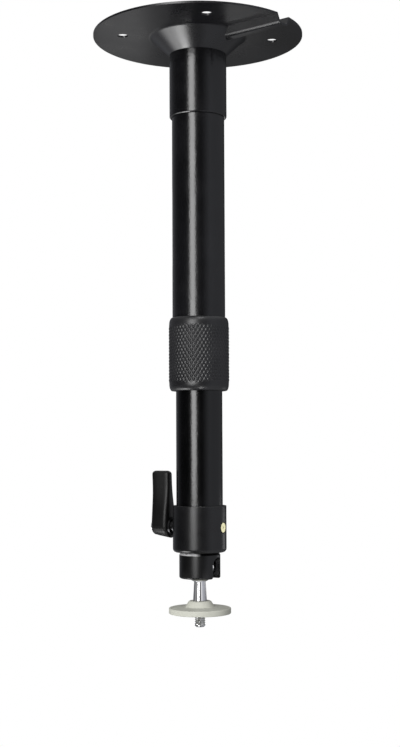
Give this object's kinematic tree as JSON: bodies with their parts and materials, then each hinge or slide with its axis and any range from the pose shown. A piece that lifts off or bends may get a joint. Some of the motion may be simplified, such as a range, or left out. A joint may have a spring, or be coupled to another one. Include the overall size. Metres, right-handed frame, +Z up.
{
  "type": "projector mount",
  "caption": "Ceiling mount with a round plate, a twist-lock telescopic pole and a ball head whose stud and flange nut carry a projector.",
  "frame": {"origin": "centre of the four-hole pattern on the plate's ceiling face", "axes": "+Z up into the ceiling, the pole hangs along -Z; -Y faces the picture's camera, +X to its right"},
  "size_m": [0.128, 0.128, 0.3593],
  "materials": {
    "plate_black": "satin",
    "tube_black": "satin",
    "ring_black": "satin",
    "head_black": "satin",
    "lever_black": "gloss",
    "nylon": "matte",
    "nut_pale": "satin",
    "steel": "satin",
    "stud_steel": "polished",
    "pin_brass": "polished"
  },
  "bodies": {
    "fixed": {"ceiling_plate": "plate_black", "neck_collar": "tube_black", "neck_screws": "steel", "outer_tube": "tube_black", "thread_ferrule": "steel"},
    "lock": {"lock_ring": "ring_black"},
    "swivel": {"collet": "nylon"},
    "pole": {"inner_tube": "tube_black", "guide_bush": "nylon", "head_sleeve": "head_black", "ball_cup": "head_black", "ball_pad": "nylon", "clamp_wedge": "steel", "retaining_pin": "pin_brass"},
    "lever": {"clamp_screw": "steel", "lever_washer": "head_black", "clamp_lever": "lever_black", "lever_screw": "steel"},
    "stud": {"ball_stud": "stud_steel"},
    "nut": {"flange_nut": "nut_pale"}
  },
  "joints": [
    {"name": "lock_turn", "type": "hinge", "parent": "fixed", "child": "lock", "pos_m": [0, 0, -0.1958], "axis": [0, 0, 1], "range_deg": [0, 270]},
    {"name": "pole_swivel", "type": "hinge", "parent": "fixed", "child": "swivel", "pos_m": [0, 0, -0.2068], "axis": [0, 0, 1], "continuous": true},
    {"name": "pole_slide", "type": "slide", "parent": "swivel", "child": "pole", "axis": [0, 0, -1], "range_m": [-0.066, 0.09]},
    {"name": "lever_turn", "type": "hinge", "parent": "pole", "child": "lever", "pos_m": [0, 0, -0.2998], "axis": [-0.8829, 0.4695, 0], "range_deg": [0, 120]},
    {"name": "ball_tilt", "type": "hinge", "parent": "pole", "child": "stud", "pos_m": [0, 0, -0.3238], "axis": [-0.4695, -0.8829, 0], "range_deg": [-24, 90]},
    {"name": "nut_spin", "type": "hinge", "parent": "stud", "child": "nut", "pos_m": [0, 0, -0.3488], "axis": [0, 0, 1], "continuous": true}
  ]
}
